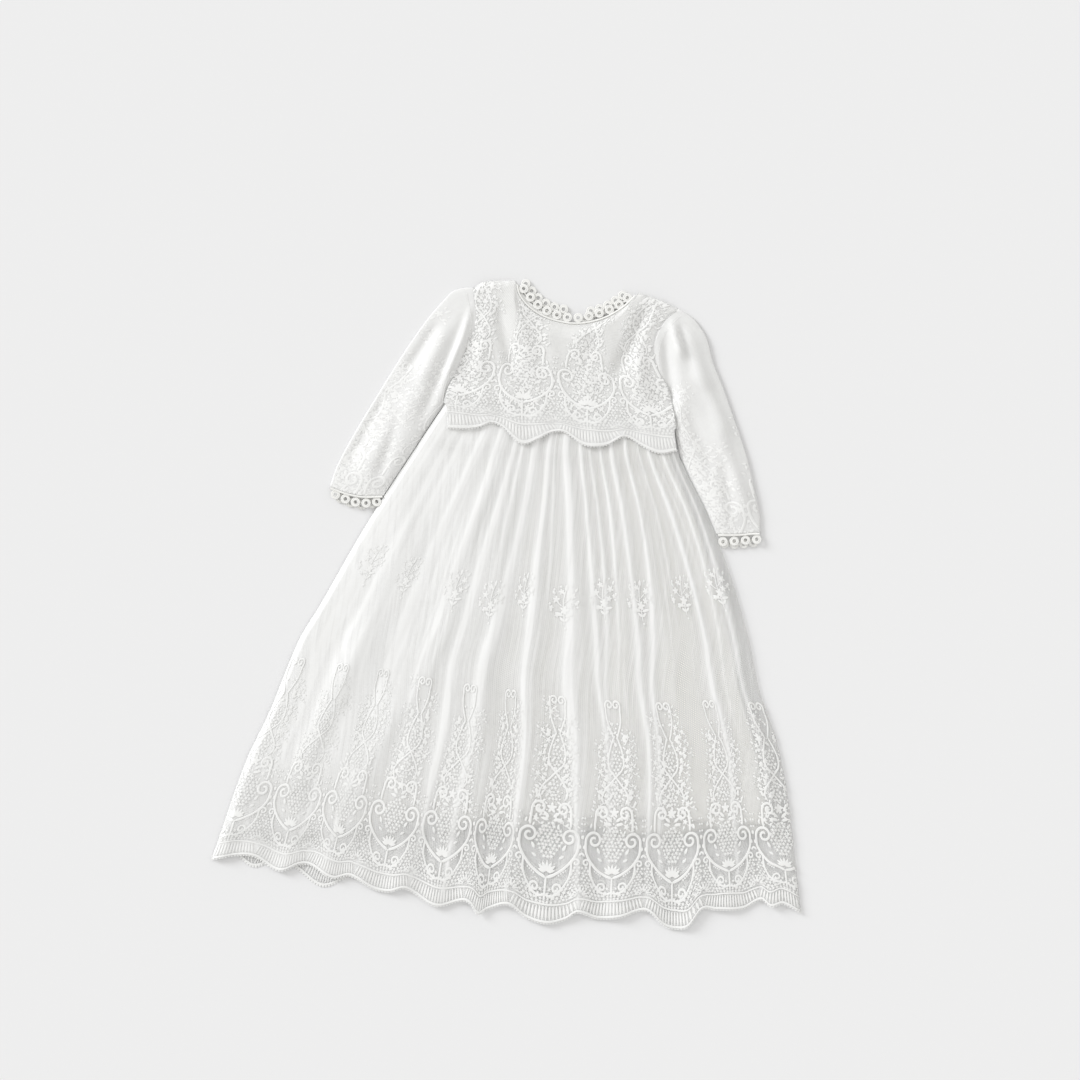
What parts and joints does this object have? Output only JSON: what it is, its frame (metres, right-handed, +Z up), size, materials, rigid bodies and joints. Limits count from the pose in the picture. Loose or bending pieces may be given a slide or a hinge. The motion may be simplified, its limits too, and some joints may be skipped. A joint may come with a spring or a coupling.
{
  "type": "christening gown",
  "caption": "Long-sleeved baby christening gown laid flat, with an embroidered net overlay, ring-lace trims and a full scalloped skirt.",
  "frame": {"origin": "bottom centre of the gown's box, on the surface it lies on", "axes": "+Y from the hem towards the neck, +X towards the right of the picture, which is the wearer's left, +Z up out of the front"},
  "size_m": [0.6494, 0.7018, 0.0139],
  "materials": {
    "embroidered_net": "fine white net with satin-stitch embroidery",
    "satin": "soft white satin with a low sheen",
    "lining": "plain white lining cloth",
    "ring_lace": "matte white cotton ring lace"
  },
  "bodies": {
    "root": {"overlay_front": "embroidered_net", "overlay_back_left": "embroidered_net", "overlay_back_right": "embroidered_net", "bodice_front": "satin", "bodice_back_left": "satin", "bodice_back_right": "satin", "sleeve_left": "satin", "sleeve_right": "satin", "skirt_front": "embroidered_net", "skirt_back": "embroidered_net", "lining_front": "lining", "lining_back": "lining", "neck_trim_front": "ring_lace", "neck_trim_back_left": "ring_lace", "neck_trim_back_right": "ring_lace", "cuff_trim_left_front": "ring_lace", "cuff_trim_left_back": "ring_lace", "cuff_trim_right_front": "ring_lace", "cuff_trim_right_back": "ring_lace"}
  },
  "joints": []
}
